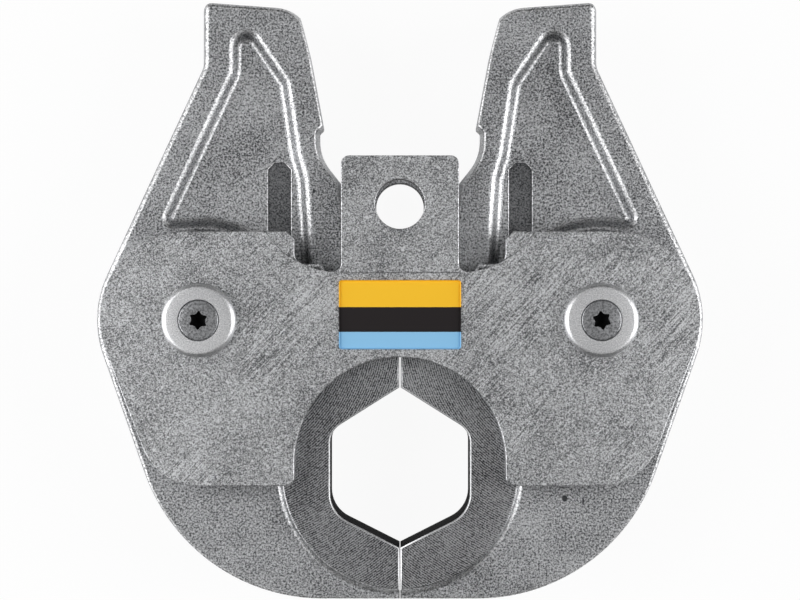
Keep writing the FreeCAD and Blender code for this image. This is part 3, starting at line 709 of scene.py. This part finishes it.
def leg_spring(material):
    """The close coil on its pin and the two legs that push the jaws' flanks."""
    low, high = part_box("jaw_spring")
    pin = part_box("spring_pin")
    middle = (pin[0] + pin[1]) / 2
    tip = Vector((low.x + WIRE_RADIUS, high.y - 0.6 * MM, 0))
    bearing = math.atan2(tip.y - middle.y, tip.x - middle.x)
    reach = math.hypot(tip.y - middle.y, tip.x - middle.x)
    begin = bearing + math.acos(COIL_RADIUS / reach)
    turn = 2 * math.pi
    sweep = (math.pi - 2 * begin) % turn + 5 * turn
    rise = high.z - low.z - 2 * WIRE_RADIUS
    steps_in_turn = 16
    count = round(steps_in_turn * sweep / turn)
    path = [Vector((tip.x, tip.y, low.z + WIRE_RADIUS))]
    for step in range(count + 1):
        angle = begin + sweep * step / count
        path.append(Vector((
            middle.x + COIL_RADIUS * math.cos(angle),
            middle.y + COIL_RADIUS * math.sin(angle),
            -rise / 2 + rise * step / count,
        )))
    path.append(Vector((-tip.x, tip.y, high.z - WIRE_RADIUS)))
    half = len(path) // 2
    spring_half("spring_left_half", path[:half + 1], material)
    spring_half("spring_right_half", path[half:], material)


def pressed_label(material):
    """The foil with its rounded corners."""
    low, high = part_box("front_label")
    bpy.ops.object.select_all(action="DESELECT")
    bpy.ops.mesh.primitive_cube_add(size=1, location=(low + high) / 2)
    piece = bpy.context.active_object
    piece.name = "label_foil"
    piece.scale = high - low
    bpy.ops.object.transform_apply(location=True, rotation=True, scale=True)
    edit(piece)
    mesh = piece.data

    def upright(edge):
        ends = [mesh.vertices[index].co for index in edge.vertices]
        return abs(ends[0].z - ends[1].z) > 0.1 * MM

    choose(piece, upright, "edges")
    bpy.ops.mesh.bevel(offset=0.8 * MM, segments=6)
    finish_edit()
    piece.data.materials.append(material)
    smooth(piece)
    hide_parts("front_label")
    return settle(piece, "frame")


# The part

forged = forged_steel()
edge_highlight = edge_highlight_steel()
field = shaded_field_steel()
tumbled = tumbled_steel()
contour = contour_steel()
turned = turned_steel()
zinc = screw_steel()

for side in ("left", "right"):
    body = f"{side}_half"
    faced = faced_steel(f"face_milled_{side}_steel", pivots[body])
    finished_jaw(side, body, [forged, faced, contour, turned, field, edge_highlight])
bore_shade = bore_shade_steel()
finished_plate("front", [tumbled, bore_shade])
finished_plate("rear", [tumbled, bore_shade])

# Degrees that each washer and screw is turned, as they come to rest when tightened
turns = {
    ("front", "left"): 4,
    ("front", "right"): -9,
    ("rear", "left"): 17,
    ("rear", "right"): 31,
}
place_copies(turned_washer("front_left_washer", turned), "washer", turns)
place_copies(countersunk_screw("front_left_screw", [zinc, contour]), "screw", turns)
for node in ("left_pivot_bolt", "right_pivot_bolt", "spring_pin"):
    nodes[node].data.materials.clear()
    nodes[node].data.materials.append(turned)
leg_spring(spring_wire())
label_low, label_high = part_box("front_label")
pressed_label(label_foil(label_high.y, label_high.y - label_low.y))


# Floor, light and camera

def pale_floor():
    """A matt white floor that camera and metal see as near white, with a trace of shadow."""
    bpy.ops.object.select_all(action="DESELECT")
    bpy.ops.mesh.primitive_plane_add(size=6, location=(0, 0, floor_level))
    floor = bpy.context.active_object
    floor.name = "floor"
    material, tree, shader, _ = new_material("matt_white_floor")
    shader.inputs["Base Color"].default_value = linear("#f2f2f2")
    shader.inputs["Roughness"].default_value = 0.9
    glow = add(tree, "ShaderNodeEmission", {"Color": (1, 1, 1, 1), "Strength": 1.0})
    path = add(tree, "ShaderNodeLightPath")
    seen = add(tree, "ShaderNodeMath", {
        0: path.outputs["Is Camera Ray"], 1: path.outputs["Is Glossy Ray"],
    }, operation="MAXIMUM")
    through = add(tree, "ShaderNodeMath", {
        0: seen.outputs[0], 1: path.outputs["Is Transmission Ray"],
    }, operation="MAXIMUM")
    glow_share = 0.93  # The rest of the floor takes light and shadow
    share = add(tree, "ShaderNodeMath", {
        0: through.outputs[0], 1: glow_share,
    }, operation="MULTIPLY")
    mixed = add(tree, "ShaderNodeMixShader", {
        "Fac": share.outputs[0], 1: shader.outputs[0], 2: glow.outputs[0],
    })
    tree.links.new(mixed.outputs[0], tree.nodes["Material Output"].inputs["Surface"])
    floor.data.materials.append(material)


def studio_world():
    """Even light from above that falls off low down, and beyond the arms and the contour."""
    world = bpy.data.worlds.new("studio")
    bpy.context.scene.world = world
    world.use_nodes = True
    tree = world.node_tree
    direction = add(tree, "ShaderNodeTexCoord").outputs["Generated"]
    split = add(tree, "ShaderNodeSeparateXYZ", {"Vector": direction})
    lift = add(tree, "ShaderNodeMapRange", {
        "Value": split.outputs["Z"], "From Min": 0.0, "From Max": 0.8,
        "To Min": 0.04, "To Max": 0.38,
    })
    aside = add(tree, "ShaderNodeMath", {0: split.outputs["Y"]}, operation="ABSOLUTE")
    ends = add(tree, "ShaderNodeMapRange", {
        "Value": aside.outputs[0], "From Min": 0.4, "From Max": 0.8,
        "To Min": 1.0, "To Max": 0.08,
    })
    level = add(tree, "ShaderNodeMath", {
        0: lift.outputs["Result"], 1: ends.outputs["Result"],
    }, operation="MULTIPLY")
    tree.links.new(level.outputs[0], tree.nodes["Background"].inputs["Strength"])
    tree.nodes["Background"].inputs["Color"].default_value = (1, 1, 1, 1)


def side_light(name, place, height, energy):
    """A softbox beside the part, 0.9 m long and turned to its middle."""
    bpy.ops.object.select_all(action="DESELECT")
    bpy.ops.object.light_add(type="AREA", location=place)
    lamp = bpy.context.active_object
    lamp.name = name
    lamp.data.shape = "RECTANGLE"
    lamp.data.size = height
    lamp.data.size_y = 0.9
    lamp.data.energy = energy
    aim = Vector((0, -0.03, 0)) - lamp.location
    lamp.rotation_euler = aim.to_track_quat("-Z", "Y").to_euler()


def top_camera():
    """The photograph's view: straight down, 737 mm above the middle of the part."""
    data = bpy.data.cameras.new("camera")
    camera = bpy.data.objects.new("camera", data)
    bpy.context.scene.collection.objects.link(camera)
    camera.location = (0, -27.25 * MM, 736.5 * MM)
    data.lens = 114.07
    data.sensor_width = 36
    bpy.context.scene.camera = camera


pale_floor()
studio_world()
side_light("left_softbox", place=(-0.7, -0.03, 0.4), height=0.75, energy=6.7)
side_light("right_softbox", place=(0.72, -0.03, 0.34), height=0.5, energy=5.6)
top_camera()
bpy.context.scene.view_settings.view_transform = "Standard"
